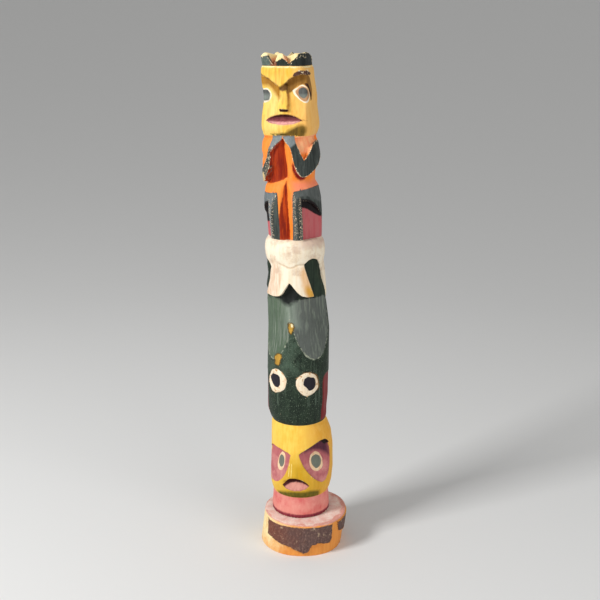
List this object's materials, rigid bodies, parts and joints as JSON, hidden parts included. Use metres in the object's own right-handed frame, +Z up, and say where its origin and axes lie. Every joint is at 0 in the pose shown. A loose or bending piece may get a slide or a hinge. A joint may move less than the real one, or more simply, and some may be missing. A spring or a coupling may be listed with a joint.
{
  "type": "totem pole model",
  "caption": "Table-top carved and painted wooden totem pole: crowned square head, seated figure, whale with hanging tail and round-faced head, standing on a slice of log with bark.",
  "frame": {"origin": "on the underside of the log slice, under the middle of the whole object's box", "axes": "+Z up along the pole, the carved figures face -Y, +X to the viewer's right"},
  "size_m": [0.0828, 0.08, 0.4605],
  "materials": {
    "painted_wood": "hand-painted matt to satin paint, worn to bare wood on carved edges",
    "log_wood": "sawn log with bark patches, top brushed with thin whitish paint"
  },
  "bodies": {
    "root": {"carved_pole": "painted_wood", "log_slice_base": "log_wood"}
  },
  "joints": []
}
